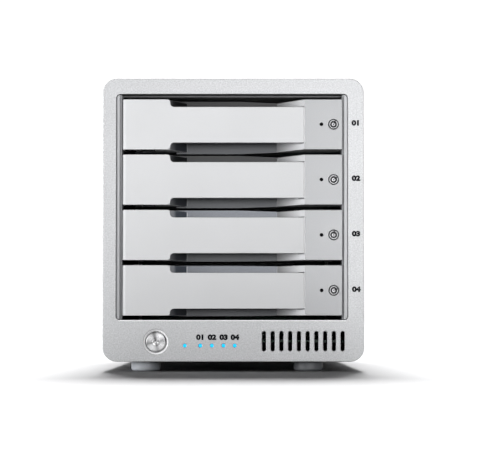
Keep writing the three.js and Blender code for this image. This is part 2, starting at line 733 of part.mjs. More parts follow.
// A slotted quarter-turn barrel with a cam on its inner end.
function trayLock(z, slotAngle) {
  const middle = z + TRAY.height / 2;
  const barrel = rodY(LOCK.radius, [TRAY_FACE, TRAY_FACE + 9], LOCK.x, middle, 16);
  const cam = block(about(LOCK.x, 2.6), [TRAY_FACE + 8, TRAY_FACE + 10], [middle - 1.3, middle + 6]);
  const slot = block(about(0, 0.9), [TRAY_FACE - 1, TRAY_FACE + 1], about(0, 4.2))
    .rotateY(THREE.MathUtils.degToRad(slotAngle))
    .translate(LOCK.x, 0, middle);
  return cut(join(barrel, cam), slot);
}

const SLED = { inner: 51.2, outer: 53.2, base: 0.3, floor: 1.2, sideHeight: 21.5 };
const sideHoles = SIDE_HOLE.fromRear.map((offset) => DRIVE_REAR - offset);
const sideHoleZ = (z) => z + DRIVE.lift + SIDE_HOLE.aboveBase;

// A tray body whose four moulded pins reach into the drive's side holes.
function traySled(z) {
  const x = (reach) => [BAY_CENTRE_X - reach, BAY_CENTRE_X + reach];
  const length = [TRAY_BACK + SEAM, DRIVE_REAR + 1];
  const base = z + SLED.base;
  const shell = block(x(SLED.outer), length, [base, base + SLED.sideHeight]);
  const ribs = block(x(RIB.reach), [TRAY_BACK + 7, DRIVE_REAR - 4], [z + RIB.low, z + RIB.high]);
  const bed = block(x(SLED.inner), [TRAY_BACK + 1.7, DRIVE_REAR + 2], [base + SLED.floor, z + 40]);
  const windows = [0, 1, 2].map((i) => {
    const y = DRIVE_FRONT + 12 + i * 44;
    return block(x(38), [y, y + 34], [z - 1, z + 3]);
  });
  const pins = sideHoles.flatMap((y) => [
    rodX(1.4, [BAY_CENTRE_X - 52, BAY_CENTRE_X - 48.4], y, sideHoleZ(z), 8),
    rodX(1.4, [BAY_CENTRE_X + 48.4, BAY_CENTRE_X + 52], y, sideHoleZ(z), 8),
  ]);
  return join(cut(join(shell, ribs), bed, ...windows), ...pins);
}

function hardDrive(z) {
  const [x0, x1] = about(BAY_CENTRE_X, DRIVE.width);
  const [y0, y1] = [DRIVE_FRONT, DRIVE_REAR];
  const c = 3;
  const plan = polygon([
    [x0 + c, y0],
    [x1 - c, y0],
    [x1, y0 + c],
    [x1, y1 - c],
    [x1 - c, y1],
    [x0 + c, y1],
    [x0, y1 - c],
    [x0, y0 + c],
  ]);
  const body = extrudeZ(plan, [z + DRIVE.lift, z + DRIVE.lift + DRIVE.height]);
  const holes = sideHoles.flatMap((y) => [
    rodX(1.9, [x0 - 1, x0 + 4], y, sideHoleZ(z), 8),
    rodX(1.9, [x1 - 4, x1 + 1], y, sideHoleZ(z), 8),
  ]);
  return cut(body, ...holes);
}

for (const bay of bays) {
  const z = bayBottom(bay);
  const tray = new THREE.Group();
  add(`tray_front_${bay}`, trayFront(z), "latchPlastic", tray);
  add(`tray_sled_${bay}`, traySled(z), "steel", tray);
  add(`tray_lever_${bay}`, trayLever(z), "silverPlastic", tray);
  add(`lever_pin_${bay}`, leverPin(z), "brightMetal", tray);
  add(`tray_lock_${bay}`, trayLock(z, SLOT_ANGLES[bay]), "brightMetal", tray);
  add(`hard_drive_${bay}`, hardDrive(z), "castDrive", tray);
  enclosure.add(tray);
}

export default enclosure;
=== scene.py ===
import math

import bmesh
import bpy
from mathutils import Matrix, Vector


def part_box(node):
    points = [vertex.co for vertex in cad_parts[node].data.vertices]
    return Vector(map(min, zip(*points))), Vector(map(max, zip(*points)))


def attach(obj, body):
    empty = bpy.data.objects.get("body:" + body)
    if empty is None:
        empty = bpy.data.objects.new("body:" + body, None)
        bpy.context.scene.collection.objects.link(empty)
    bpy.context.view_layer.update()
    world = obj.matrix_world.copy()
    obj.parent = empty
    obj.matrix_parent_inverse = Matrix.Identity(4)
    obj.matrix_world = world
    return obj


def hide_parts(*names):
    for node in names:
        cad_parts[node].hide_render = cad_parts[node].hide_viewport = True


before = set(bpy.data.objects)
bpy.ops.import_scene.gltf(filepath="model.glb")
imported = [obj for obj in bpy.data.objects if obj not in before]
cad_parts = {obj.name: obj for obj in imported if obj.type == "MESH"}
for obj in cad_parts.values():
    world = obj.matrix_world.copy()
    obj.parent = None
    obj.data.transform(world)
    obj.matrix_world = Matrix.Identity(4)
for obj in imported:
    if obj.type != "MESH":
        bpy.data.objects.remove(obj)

# A four-bay network storage enclosure. The code below works in millimetres in the frame of the CAD
# model (front towards -Y, +Z up) and scales to metres when a mesh is made. The lights and the camera
# at the end are placed in metres.
MM = 0.001
TRAYS = range(4)
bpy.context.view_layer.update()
scene = bpy.context.scene


def box(node):
    """The low and high corners of a CAD node."""
    low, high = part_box(node)
    return Vector(low) / MM, Vector(high) / MM


def middle(node):
    """The middle of a CAD node's box."""
    return [(a + b) / 2 for a, b in zip(*box(node))]


# ------------------------------------------------------------------ dimensions

BEZEL_LOW, BEZEL_HIGH = box("front_bezel")
FRONT = BEZEL_LOW.y
FACE = FRONT + 0.06
REAR = box("rear_panel")[1].y
OPENING = dict(x=(-66.3, 64.8), z=(28.95, 157.05), radius=2.4)
BAYS_X = sum(OPENING["x"]) / 2
SLOTS = dict(count=10, first=17.3, pitch=4.93, width=2.25, height=11.2, z=17.05)

BUTTON_AT = middle("power_button")
BUTTON_RING = 7.1
LIGHTS_X = (-27.4, -18.65, -12.1, -5.5, 0.8)
LIGHTS_Z = middle("status_light_guide")[2]
LIGHT_HOLE = 1.0
LIGHT_NUMBERS_Z = 19.15
BAY_NUMBERS_X = 69.4

# The trays are counted from the top, so the last one is the lowest.
TRAYS_Z = [middle(f"tray_front_{i}")[2] for i in TRAYS]
TRAY_RIGHT = box("tray_front_0")[1].x
BAY_PITCH = TRAYS_Z[0] - TRAYS_Z[1]
# The bays are measured from here, just below the lips of the lowest tray.
BAYS_FROM = box("tray_front_3")[0].z - 1.05
# The shading of the recesses changes over between these heights, from the two lower bays to the others.
UPPER_BAYS_FROM = (94, 102)

# The finger recess behind each lever: the ends of its flat floor, and the depth of that floor.
GRIP_X = (-26.8, 25.1)
GRIP_FLOOR = FRONT + 15.0
# How far the floor reaches below and above each tray.
LIPS = ((1.0, 1.0), (0.8, 1.0), (0.3, 0.8), (0.4, 0.3))
# Each lock stands at an angle of its own, in degrees.
LOCK_TURNS = (25, 50, 10, 65)
# The side screw holes stand at the usual places of a 3.5 inch drive, seen from its connector end.
DRIVE_HOLES = dict(from_rear=(28.5, 130.1), z=6.35)

FAN_Z = middle("fan_frame")[2]
FAN_SCREWS_APART = 71.5

# ------------------------------------------------------------------ materials


class Nodes:
    """A short way to write a material's node tree."""

    def __init__(self, name):
        self.material = bpy.data.materials.new(name)
        self.material.use_nodes = True
        self.tree = self.material.node_tree
        self.shader = self.tree.nodes["Principled BSDF"]
        self.place = self.add("ShaderNodeTexCoord").outputs["Object"]

    def add(self, kind, **values):
        node = self.tree.nodes.new(kind)
        for key, value in values.items():
            setattr(node, key, value)
        return node

    def link(self, output, target):
        self.tree.links.new(output, target)

    def feed(self, value, target):
        """Links a socket to the target, or sets the target to a number or colour."""
        if isinstance(value, bpy.types.NodeSocket):
            self.link(value, target)
        else:
            target.default_value = value

    def scaled(self, scale):
        mapping = self.add("ShaderNodeMapping")
        mapping.inputs["Scale"].default_value = scale
        self.link(self.place, mapping.inputs["Vector"])
        return mapping.outputs["Vector"]

    def noise(self, size_mm, detail=2.0, stretch=None):
        node = self.add("ShaderNodeTexNoise")
        node.inputs["Scale"].default_value = 1 / (size_mm * MM)
        node.inputs["Detail"].default_value = detail
        self.link(self.scaled(stretch) if stretch else self.place, node.inputs["Vector"])
        return node.outputs["Fac"]

    def ranged(self, value, to_low, to_high, low=0.3, high=0.7):
        """Goes from one number to another while the value goes from low to high."""
        node = self.add("ShaderNodeMapRange")
        self.link(value, node.inputs["Value"])
        for key, number in zip(("From Min", "From Max", "To Min", "To Max"), (low, high, to_low, to_high)):
            node.inputs[key].default_value = number
        return node.outputs["Result"]

    def between(self, value, start_mm, end_mm, to_low=0.0, to_high=1.0):
        """The same for a place on the object, with its two ends in millimetres."""
        return self.ranged(value, to_low, to_high, start_mm * MM, end_mm * MM)

    def mixed(self, factor, a, b, blend="MIX"):
        node = self.add("ShaderNodeMix", data_type="RGBA", blend_type=blend)
        for value, key in ((factor, 0), (a, 6), (b, 7)):
            self.feed(value, node.inputs[key])
        return node.outputs[2]

    def math(self, operation, a, b=0.0):
        node = self.add("ShaderNodeMath", operation=operation)
        self.feed(a, node.inputs[0])
        self.feed(b, node.inputs[1])
        return node.outputs[0]

    def product(self, first, *others):
        for other in others:
            first = self.math("MULTIPLY", first, other)
        return first

    def split(self, vector):
        node = self.add("ShaderNodeSeparateXYZ")
        self.link(vector, node.inputs[0])
        return node.outputs

    def position(self):
        """X, Y and Z of the place on the object, in metres."""
        return self.split(self.place)

    def facing(self):
        """X, Y and Z of the direction that the surface looks in."""
        return self.split(self.add("ShaderNodeTexCoord").outputs["Normal"])

    def edges(self, radius_mm):
        """1 on sharp edges and 0 on flat faces."""
        bevel = self.add("ShaderNodeBevel", samples=4)
        bevel.inputs["Radius"].default_value = radius_mm * MM
        dot = self.add("ShaderNodeVectorMath", operation="DOT_PRODUCT")
        self.link(bevel.outputs["Normal"], dot.inputs[0])
        self.link(self.add("ShaderNodeNewGeometry").outputs["Normal"], dot.inputs[1])
        return self.ranged(dot.outputs["Value"], 1.0, 0.0, 0.72, 0.995)

    def colour(self):
        """The colour as it is so far."""
        return self.shader.inputs["Base Color"].links[0].from_socket

    def recolour(self, socket):
        self.link(socket, self.shader.inputs["Base Color"])

    def scale_colour(self, factor):
        self.recolour(self.mixed(1.0, self.colour(), factor, "MULTIPLY"))


def shade(colour, factor=1.0):
    return [min(1.0, c * factor) for c in colour[:3]] + [1.0]


def surface(name, colour, roughness, metallic=0.0, grain_mm=0.35, bump=0.12, mottle=0.05,
            spread=0.06, edge=0.0, edge_mm=0.45, stretch=None, coat=0.0):
    """Colour with slow and fine variation, uneven gloss, a fine bump and a painted highlight on sharp edges.
    """
    n = Nodes(name)
    fine = n.noise(grain_mm, 3.0, stretch)
    slow = n.noise(38.0, 2.0)
    drift = min(mottle, 0.05)
    tint = n.mixed(n.ranged(slow, 0.0, 1.0), shade(colour, 1 - drift * 0.6), shade(colour, 1 + drift * 0.4))
    speck = n.mixed(n.ranged(fine, 0.0, 1.0), shade((1, 1, 1), 1 - mottle), shade((1, 1, 1)))
    n.recolour(n.mixed(1.0, tint, speck, "MULTIPLY"))
    if edge:
        # Painted highlight: sharp edges are mixed towards a lighter copy of the colour, as where they catch
        # the light.
        edge_highlight = n.math("MULTIPLY", n.edges(edge_mm), edge)
        n.recolour(n.mixed(edge_highlight, n.colour(), shade(colour, 1.5)))
    rough = n.math("ADD", n.ranged(slow, -spread / 2, spread / 2), n.ranged(fine, -spread / 2, spread / 2))
    n.link(n.math("ADD", rough, roughness), n.shader.inputs["Roughness"])
    relief = n.add("ShaderNodeBump")
    relief.inputs["Strength"].default_value = bump
    relief.inputs["Distance"].default_value = 0.08 * MM
    n.link(fine, relief.inputs["Height"])
    n.link(relief.outputs["Normal"], n.shader.inputs["Normal"])
    n.shader.inputs["Metallic"].default_value = metallic
    n.shader.inputs["Coat Weight"].default_value = coat
    return n


def darker_behind_plane(n, colour_deep, start_mm, end_mm):
    """Goes over to a second, darker colour behind a plane parallel to the front."""
    deep = n.between(n.position()["Y"], start_mm, end_mm)
    grain = n.ranged(n.noise(0.8, 3.0), 0.0, 1.0)
    n.recolour(n.mixed(deep, n.colour(), n.mixed(grain, shade(colour_deep, 0.92), shade(colour_deep, 1.08))))


def shaded_recess(n, start_mm, upper_levels, lower_levels):
    """Scales the colour inside the finger recess, apart from its right slope.

    Above the levers it goes from the first level in the two lowest bays to the second in the others.
    Below the levers it goes from the first level at the bottom of each tray to the second at the lever.
    """
    lever_low, lever_high = 6.5, 20.5
    left, right = -38, 27
    place, facing = n.position(), n.facing()
    height = n.math("SUBTRACT", n.math("DIVIDE", place["Z"], MM), BAYS_FROM)
    in_bay = n.math("MODULO", height, BAY_PITCH)
    over_lever = n.ranged(in_bay, 0.0, 1.0, lever_high, lever_high + 1)
    above = n.between(place["Z"], *UPPER_BAYS_FROM, *upper_levels)
    below = n.ranged(in_bay, *lower_levels, 1.0, lever_low)
    level = n.math("ADD", n.product(over_lever, n.math("SUBTRACT", above, below)), below)
    inside = n.product(
        n.between(place["Y"], start_mm, start_mm + 4),
        n.ranged(facing["X"], 0.0, 1.0, -0.5, -0.3),
        n.ranged(n.math("ABSOLUTE", facing["Z"]), 1.0, 0.0, 0.3, 0.6),
        n.between(place["X"], left, left + 1),
        n.between(place["X"], right - 1, right, 1.0, 0.0),
    )
    n.scale_colour(n.math("ADD", n.product(inside, n.math("SUBTRACT", level, 1.0)), 1.0))


def shaded_left_slopes(n, colour, start_mm):
    """Painted shade on the slopes that look to the right: a dark colour, in full from 5 mm behind its start.
    """
    side = n.facing()["X"]
    amount = n.product(
        n.ranged(side, 0.0, 1.0, 0.45, 0.7),
        n.ranged(side, 1.0, 0.0, 0.85, 0.95),
        n.between(n.position()["Y"], start_mm, start_mm + 5, 0.55, 1.0),
    )
    n.recolour(n.mixed(amount, n.colour(), shade(colour)))


def lit_and_shaded_right_slopes(n, near, deep, start_mm, end_mm):
    """Painted light and shade on the slopes that look to the left: lighter at the front edge, fading to a
    dark far end.
    """
    side = n.facing()["X"]
    slope = n.product(n.ranged(side, 0.0, 1.0, -0.3, -0.5), n.ranged(side, 1.0, 0.0, -0.93, -0.98))
    fade = n.between(n.position()["Y"], start_mm, end_mm, near, deep)
    graded = n.mixed(1.0, n.colour(), fade, "MULTIPLY")
    n.recolour(n.mixed(slope, n.colour(), graded))


def shaded_inside(n, level, start_mm, end_mm):
    """Painted shade on the walls of the holes in the bezel below its face; its outer sides are left alone."""
    side, bottom, top, depth = 70, 8, 160, 20
    place = n.position()
    amount = n.product(
        n.between(n.math("ABSOLUTE", place["X"]), side, side + 1, 1.0, 0.0),
        n.between(place["Z"], bottom, bottom + 1),
        n.between(place["Z"], top, top + 1, 1.0, 0.0),
        n.between(place["Y"], start_mm, end_mm),
        n.between(place["Y"], start_mm + depth, start_mm + depth + 1, 1.0, 0.0),
    )
    n.recolour(n.mixed(amount, n.colour(), shade((level, level, level))))


def lit_and_shaded_trims(n, inner, outer, inner_mm, outer_mm):
    """Painted light and shade across the strips beside the bays: darker at their inner edges, lighter towards
    the bezel.
    """
    off_centre = n.math("ABSOLUTE", n.math("SUBTRACT", n.position()["X"], BAYS_X * MM))
    n.scale_colour(n.between(off_centre, inner_mm, outer_mm, inner, outer))


def lighter_left(n, factor, light_mm, dark_mm):
    """Scales the colour up towards the left of the left feet, which stand nearest to the light."""
    n.scale_colour(n.between(n.position()["X"], light_mm, dark_mm, factor, 1.0))


def disc_with_painted_sheen(name, x, z):
    """A metal disc turned on a lathe, with painted reflections: light and dark sectors about its centre, as
    the spun finish would show them.
    """
    n = surface(name, (0.62, 0.62, 0.63), 0.3, 0.45, grain_mm=0.5, bump=0.05, mottle=0.03)
    centred = n.add("ShaderNodeVectorMath", operation="SUBTRACT")
    centred.inputs[1].default_value = (x * MM, 0.0, z * MM)
    n.link(n.place, centred.inputs[0])
    off_centre = n.split(centred.outputs[0])
    angle = n.math("ARCTAN2", off_centre["Z"], off_centre["X"])
    turn = n.math("ADD", n.math("DIVIDE", angle, 2 * math.pi), 0.5)
    # The share of a whole turn, and the level of the painted reflection there.
    stops = (
        (0.0, 0.45), (0.035, 0.3), (0.085, 0.85), (0.16, 1.0), (0.23, 0.75), (0.285, 0.42), (0.35, 0.8),
        (0.43, 0.95), (0.50, 0.6), (0.535, 0.35), (0.58, 0.65), (0.65, 1.1), (0.72, 0.8), (0.765, 0.3),
        (0.80, 0.22), (0.84, 0.7), (0.90, 0.95), (0.96, 0.7), (1.0, 0.45),
    )
    ramp = n.add("ShaderNodeValToRGB")
    elements = ramp.color_ramp.elements
    while len(elements) < len(stops):
        elements.new(0.5)
    for element, (place, level) in zip(elements, stops):
        element.position = place
        element.color = (level, level, level, 1.0)
    n.link(turn, ramp.inputs["Fac"])
    n.scale_colour(ramp.outputs["Color"])
    return n


def circuit_board(name):
    """Green solder mask over slightly lighter tracks."""
    n = surface(name, (0.012, 0.085, 0.042), 0.38, grain_mm=1.2, mottle=0.12, coat=0.3)
    cells = n.add("ShaderNodeTexVoronoi", feature="DISTANCE_TO_EDGE", distance="MANHATTAN")
    cells.inputs["Scale"].default_value = 1 / (5.0 * MM)
    n.link(n.place, cells.inputs["Vector"])
    track = n.ranged(cells.outputs["Distance"], 0.55, 0.0, 0.03, 0.06)
    n.recolour(n.mixed(track, n.colour(), shade((0.03, 0.16, 0.08))))
    return n


def glowing(name, colour, strength):
    n = surface(name, shade(colour, 0.3), 0.3, grain_mm=0.3, bump=0.03, mottle=0.06)
    n.shader.inputs["Emission Color"].default_value = shade(colour)
    n.shader.inputs["Emission Strength"].default_value = strength
    return n


def less_gloss(n, specular):
    n.shader.inputs["Specular IOR Level"].default_value = specular


SILVER = (0.486, 0.491, 0.501)
# edge= sets the strength of the painted highlight on sharp edges, strongest on the bezel, levers and tray
# fronts.
M = {
    "body": surface("blasted_aluminium", SILVER, 0.5, 0.35, grain_mm=0.7, bump=0.3, mottle=0.31, edge=1.0),
    "panel": surface("rear_sheet", SILVER, 0.5, 0.4, grain_mm=0.5, bump=0.25, mottle=0.07, edge=0.25),
    "trim": surface("trim_aluminium", (0.36, 0.365, 0.375), 0.5, 0.15, grain_mm=0.2, bump=0.08,
                    stretch=(1, 1, 0.04)),
    # The chamfer is near white: a painted highlight where the cut edge catches the light.
    "chamfer": surface("chamfer_painted_highlight", (0.88, 0.88, 0.89), 0.4, grain_mm=0.4, bump=0.05),
    # The rim is near white: a painted highlight along the bottom of the bay opening.
    "rim": surface("rim_painted_highlight", (0.93, 0.935, 0.95), 0.4, grain_mm=0.4, bump=0.05, mottle=0.08),
    "lever": surface("lever_silver", (0.480, 0.485, 0.493), 0.58, grain_mm=0.4, mottle=0.085,
                     edge=1.0, edge_mm=0.75),
    "tray": surface("tray_silver", (0.292, 0.296, 0.304), 0.44, 0.25, grain_mm=0.4, mottle=0.085,
                    edge=1.0, edge_mm=0.75),
    # A light pad at the end of each lever: a painted highlight.
    "end_highlight": surface("lever_end_highlight_pad", (0.70, 0.70, 0.71), 0.5, grain_mm=0.4, bump=0.05),
    "liner": surface("gap_liner", (0.24, 0.245, 0.255), 0.6, grain_mm=0.4, bump=0.05),
    "button": disc_with_painted_sheen("spun_button_painted_sheen", BUTTON_AT[0], BUTTON_AT[2]),
    "bright": surface("plated_metal", (0.78, 0.78, 0.80), 0.2, 1.0, grain_mm=0.6, bump=0.05, edge=0.2),
    "lock": surface("lock_chrome", (0.33, 0.33, 0.34), 0.35, 0.4, grain_mm=0.6, bump=0.05, edge=0.4),
    "lock_ring": surface("lock_ring", (0.13, 0.135, 0.14), 0.5, 0.2, grain_mm=0.4, bump=0.05),
    "black_screw": surface("black_oxide", (0.03, 0.03, 0.032), 0.4, 0.6, edge=0.1),
    "rubber": surface("foot_rubber", (0.099, 0.104, 0.112), 0.5, grain_mm=0.5, bump=0.3, mottle=0.12),
    "black": surface("black_moulding", (0.018, 0.018, 0.02), 0.5, grain_mm=0.5, bump=0.2, mottle=0.15),
    "sled": surface("sled_moulding", (0.05, 0.052, 0.056), 0.5, grain_mm=0.5, bump=0.2, mottle=0.12),
    "steel": surface("zinc_sheet", (0.50, 0.51, 0.52), 0.36, 0.9, grain_mm=2.5, bump=0.05, mottle=0.14,
                     spread=0.14, edge=0.15),
    "dark_steel": surface("cage_sheet", (0.10, 0.10, 0.105), 0.45, 0.6, grain_mm=1.5, bump=0.08, mottle=0.14),
    "fins": surface("heat_sink", (0.55, 0.56, 0.57), 0.4, 0.9, grain_mm=0.4, stretch=(1, 0.05, 1)),
    "board": circuit_board("solder_mask"),
    "gold": surface("contact_gold", (0.85, 0.62, 0.25), 0.25, 1.0, bump=0.03),
    "cast": surface("drive_casting", (0.36, 0.37, 0.385), 0.5, 0.8, grain_mm=0.8, bump=0.35, mottle=0.12,
                    edge=0.25),
    "cover": surface("drive_cover", (0.62, 0.63, 0.64), 0.3, 0.95, grain_mm=0.3, bump=0.05, edge=0.25,
                     stretch=(0.05, 1, 1)),
    "paper": surface("blank_label", (0.72, 0.72, 0.70), 0.55, grain_mm=0.6, bump=0.05),
    "print": surface("printed_ink", (0.012, 0.012, 0.014), 0.5, grain_mm=0.3, mottle=0.2),
    "dark_hole": surface("dark_bore", (0.006, 0.006, 0.007), 0.7, grain_mm=0.3),
    "light": glowing("status_light", (0.0, 0.56, 1.0), 1.05),
}
less_gloss(M["print"], 0.0)
less_gloss(M["dark_hole"], 0.0)
less_gloss(M["lock"], 0.2)
shaded_inside(M["body"], 0.015, FRONT + 0.5, FRONT + 1.1)
lit_and_shaded_trims(M["trim"], 0.75, 1.25, 63.0, 65.0)
lighter_left(M["rubber"], 4.7, -58.5, -41.0)
# Painted shade: the deep part of each lock's key well goes near black.
darker_behind_plane(M["lock"], (0.003, 0.003, 0.004), FRONT + 1.45, FRONT + 1.75)
shaded_left_slopes(M["tray"], (0.014, 0.016, 0.020), FRONT + 3.0)
lit_and_shaded_right_slopes(M["tray"], 1.2, 0.32, FRONT + 3.0, GRIP_FLOOR - 0.2)
# The floor of the finger recess goes over to a darker colour.
darker_behind_plane(M["tray"], (0.030, 0.032, 0.036), GRIP_FLOOR - 0.2, GRIP_FLOOR - 0.02)
shaded_recess(M["tray"], FRONT + 2.5, (5.0, 0.22), (1.35, 0.5))

# ------------------------------------------------------------------ mesh helpers

FACING_FRONT = Matrix.Rotation(math.radians(90), 4, "X")
SHARP_FROM = 32
MERGE = 1e-7


def piece(name, mesh, look, body, stands_for=(), smooth=SHARP_FROM):
    """Puts a finished mesh in the scene, on its body."""
    mesh.name = name
    mesh.polygons.foreach_set("use_smooth", [True] * len(mesh.polygons))
    mesh.set_sharp_from_angle(angle=math.radians(smooth))
    mesh.materials.clear()
    mesh.materials.append(M[look].material)
    obj = bpy.data.objects.new(name, mesh)
    scene.collection.objects.link(obj)
    obj.modifiers.new("normals", "WEIGHTED_NORMAL").keep_sharp = True
    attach(obj, body)
    if stands_for:
        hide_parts(*stands_for)
    return obj


def tidy(mesh, transform=None):
    """Merges the vertices that meet and turns the faces outwards."""
    bm = bmesh.new()
    bm.from_mesh(mesh)
    if transform is not None:
        bm.transform(transform)
    bmesh.ops.remove_doubles(bm, verts=bm.verts, dist=MERGE)
    bmesh.ops.recalc_face_normals(bm, faces=bm.faces)
    bm.to_mesh(mesh)
    bm.free()
    return mesh


def from_lists(vertices, faces):
    """A mesh in metres from points in millimetres."""
    mesh = bpy.data.meshes.new("made")
    mesh.from_pydata([tuple(c * MM for c in v) for v in vertices], [], faces)
    return mesh


def joined(*meshes):
    bm = bmesh.new()
    for mesh in meshes:
        bm.from_mesh(mesh)
        bpy.data.meshes.remove(mesh)
    made = bpy.data.meshes.new("joined")
    bm.to_mesh(made)
    bm.free()
    return made


def moved(mesh, x=0.0, y=0.0, z=0.0, turn=None):
    if turn is not None:
        mesh.transform(turn)
    mesh.transform(Matrix.Translation((x * MM, y * MM, z * MM)))
    return mesh


def about_y(degrees):
    return Matrix.Rotation(math.radians(degrees), 4, "Y")


def arc(x, y, radius, start, end, steps):
    angles = [math.radians(start + (end - start) * i / steps) for i in range(steps + 1)]
    return [(x + radius * math.cos(a), y + radius * math.sin(a)) for a in angles]


def rounded(x0, x1, y0, y1, radius, steps=12):
    """A rectangle with round corners."""
    return (
        arc(x1 - radius, y0 + radius, radius, -90, 0, steps)
        + arc(x1 - radius, y1 - radius, radius, 0, 90, steps)
        + arc(x0 + radius, y1 - radius, radius, 90, 180, steps)
        + arc(x0 + radius, y0 + radius, radius, 180, 270, steps)
    )


def circle(x, y, radius, steps=32):
    return arc(x, y, radius, 0, 360 * (steps - 1) / steps, steps - 1)


def add_outline(curve, points, cyclic=True):
    """Adds straight stretches through points of two or three coordinates to a curve."""
    spline = curve.splines.new("POLY")
    spline.points.add(len(points) - 1)
    spline.use_cyclic_u = cyclic
    for point, place in zip(spline.points, points):
        point.co = [c * MM for c in place] + [0.0] * (3 - len(place)) + [1.0]


def mesh_of(curve):
    """A mesh made from a curve or a text, which is then removed."""
    holder = bpy.data.objects.new("holder", curve)
    scene.collection.objects.link(holder)
    graph = bpy.context.evaluated_depsgraph_get()
    mesh = bpy.data.meshes.new_from_object(holder.evaluated_get(graph))
    bpy.data.objects.remove(holder)
    bpy.data.curves.remove(curve)
    return mesh


def plate(loops, thickness, bevel, rounds):
    """A flat plate with holes and rounded edges, in X and Y, from z 0 to its thickness."""
    curve = bpy.data.curves.new("outline", "CURVE")
    curve.dimensions = "2D"
    curve.fill_mode = "BOTH"
    curve.extrude = (thickness / 2 - bevel) * MM
    curve.bevel_depth = bevel * MM
    curve.bevel_resolution = rounds
    curve.offset = -bevel * MM
    for loop in loops:
        add_outline(curve, loop)
    return tidy(mesh_of(curve), Matrix.Translation((0, 0, thickness / 2 * MM)))


def upright_plate(loops, y0, y1, bevel, rounds=3):
    """A plate drawn in X and Z that fills y0 to y1."""
    return moved(plate(loops, y1 - y0, bevel, rounds), 0, y1, 0, FACING_FRONT)


def flat_plate(loops, z0, z1, bevel, rounds=3):
    """A plate drawn in X and Y that fills z0 to z1."""
    return moved(plate(loops, z1 - z0, bevel, rounds), 0, 0, z0)


def turned(profile, x, z, sides=64):
    """A profile of (radius, y) points turned about an axis along Y.

    A profile that comes back to its first point makes a ring. Any other is closed at its ends.
    """
    angles = [2 * math.pi * i / sides for i in range(sides)]
    vertices = [(x + r * math.cos(a), y, z + r * math.sin(a)) for r, y in profile for a in angles]
    faces = []
    for ring in range(len(profile) - 1):
        near, far = ring * sides, (ring + 1) * sides
        for i in range(sides):
            j = (i + 1) % sides
            faces.append((near + i, near + j, far + j, far + i))
    mesh = from_lists(vertices, faces)
    bm = bmesh.new()
    bm.from_mesh(mesh)
    bmesh.ops.remove_doubles(bm, verts=bm.verts, dist=MERGE)
    bmesh.ops.dissolve_degenerate(bm, edges=bm.edges, dist=MERGE)
    if profile[0] != profile[-1]:
        bmesh.ops.holes_fill(bm, edges=[e for e in bm.edges if e.is_boundary], sides=0)
    bmesh.ops.recalc_face_normals(bm, faces=bm.faces)
    bm.to_mesh(mesh)
    bm.free()
    return mesh


def block(x, y, z, bevel=0.2, rounds=2):
    """A block between pairs of coordinates, with rounded edges."""
    bm = bmesh.new()
    bmesh.ops.create_cube(bm, size=1.0)
    bm.transform(
        Matrix.Translation([(a + b) / 2 * MM for a, b in (x, y, z)])
        @ Matrix.Diagonal([(b - a) * MM for a, b in (x, y, z)] + [1.0])
    )
    if bevel:
        bmesh.ops.bevel(bm, geom=bm.edges[:], offset=bevel * MM, segments=rounds, profile=0.5, affect="EDGES")
    mesh = bpy.data.meshes.new("block")
    bm.to_mesh(mesh)
    bm.free()
    return mesh


def carved(mesh, *cutters):
    """The mesh with the cutters taken out of it."""
    holder = bpy.data.objects.new("carved", mesh)
    scene.collection.objects.link(holder)
    tools = []
    for cutter in cutters:
        tool = bpy.data.objects.new("cutter", cutter)
        scene.collection.objects.link(tool)
        tools.append(tool)
        boolean = holder.modifiers.new("cut", "BOOLEAN")
        boolean.operation = "DIFFERENCE"
        boolean.solver = "EXACT"
        boolean.object = tool
    graph = bpy.context.evaluated_depsgraph_get()
    made = bpy.data.meshes.new_from_object(holder.evaluated_get(graph))
    for obj in [holder] + tools:
        bpy.data.objects.remove(obj)
    return tidy(made)


def wires(paths, radius):
    """Round wires along pairs of a path of (x, y, z) points and whether it closes."""
    curve = bpy.data.curves.new("wire", "CURVE")
    curve.dimensions = "3D"
    curve.bevel_depth = radius * MM
    curve.bevel_resolution = 3
    curve.use_fill_caps = True
    for points, cyclic in paths:
        add_outline(curve, points, cyclic)
    return tidy(mesh_of(curve))


def smoothing_group():
    """Smooth shading with sharp edges, as a modifier, for the CAD meshes that stay as they are."""
    group = bpy.data.node_groups.new("smooth_sides", "GeometryNodeTree")
    group.interface.new_socket("Geometry", in_out="INPUT", socket_type="NodeSocketGeometry")
    group.interface.new_socket("Geometry", in_out="OUTPUT", socket_type="NodeSocketGeometry")
    add, link = group.nodes.new, group.links.new
    start, end = add("NodeGroupInput"), add("NodeGroupOutput")
    faces, edges = add("GeometryNodeSetShadeSmooth"), add("GeometryNodeSetShadeSmooth")
    edges.domain = "EDGE"
    edges.inputs["Shade Smooth"].default_value = False
    angle = add("GeometryNodeInputMeshEdgeAngle")
    compare = add("FunctionNodeCompare")
    compare.operation = "GREATER_THAN"
    compare.inputs[1].default_value = math.radians(SHARP_FROM)
    link(start.outputs[0], faces.inputs["Geometry"])
    link(faces.outputs[0], edges.inputs["Geometry"])
    link(angle.outputs["Unsigned Angle"], compare.inputs[0])
    link(compare.outputs[0], edges.inputs["Selection"])
    link(edges.outputs[0], end.inputs[0])
    return group


SMOOTHING = smoothing_group()


def refine(node, look, bevel, rounds=2):
    """Keeps a CAD node, eases its edges and gives it its material."""
    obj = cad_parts[node]
    obj.modifiers.new("weld", "WELD").merge_threshold = 1e-6
    if bevel:
        planar = obj.modifiers.new("planar", "DECIMATE")
        planar.decimate_type = "DISSOLVE"
        planar.angle_limit = math.radians(1.5)
        edges = obj.modifiers.new("edges", "BEVEL")
        edges.width = bevel * MM
        edges.segments = rounds
        edges.limit_method = "ANGLE"
        edges.angle_limit = math.radians(40)
        edges.use_clamp_overlap = False
    obj.modifiers.new("smooth", "NODES").node_group = SMOOTHING
    obj.modifiers.new("normals", "WEIGHTED_NORMAL").keep_sharp = True
    for material_slot in obj.material_slots:
        material_slot.material = M[look].material

# ------------------------------------------------------------------ front bezel


